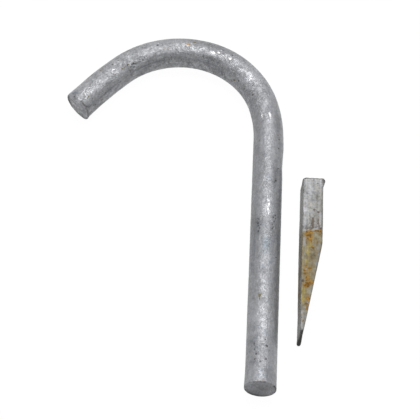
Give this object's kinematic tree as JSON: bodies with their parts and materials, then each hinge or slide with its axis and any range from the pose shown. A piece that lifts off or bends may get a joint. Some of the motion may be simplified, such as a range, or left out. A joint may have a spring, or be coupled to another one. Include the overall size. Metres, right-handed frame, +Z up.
{
  "type": "rock anchor",
  "caption": "Galvanised mooring hook bent from round bar, with the loose steel wedge that jams its straight shank in a hole or crack in rock; both lie flat side by side.",
  "frame": {"origin": "on the ground, under the middle of the bounding box of the hook and wedge as they lie", "axes": "+X from the hook's tip towards the wedge, +Y along the shank from its cut end to the crown of the hook, +Z up"},
  "size_m": [0.1932, 0.29, 0.025],
  "materials": {
    "zinc": "satin, mottled hot-dip zinc",
    "stained_zinc": "dull hot-dip zinc with rust stains"
  },
  "bodies": {
    "root": {"hook": "zinc", "wedge": "stained_zinc"}
  },
  "joints": []
}
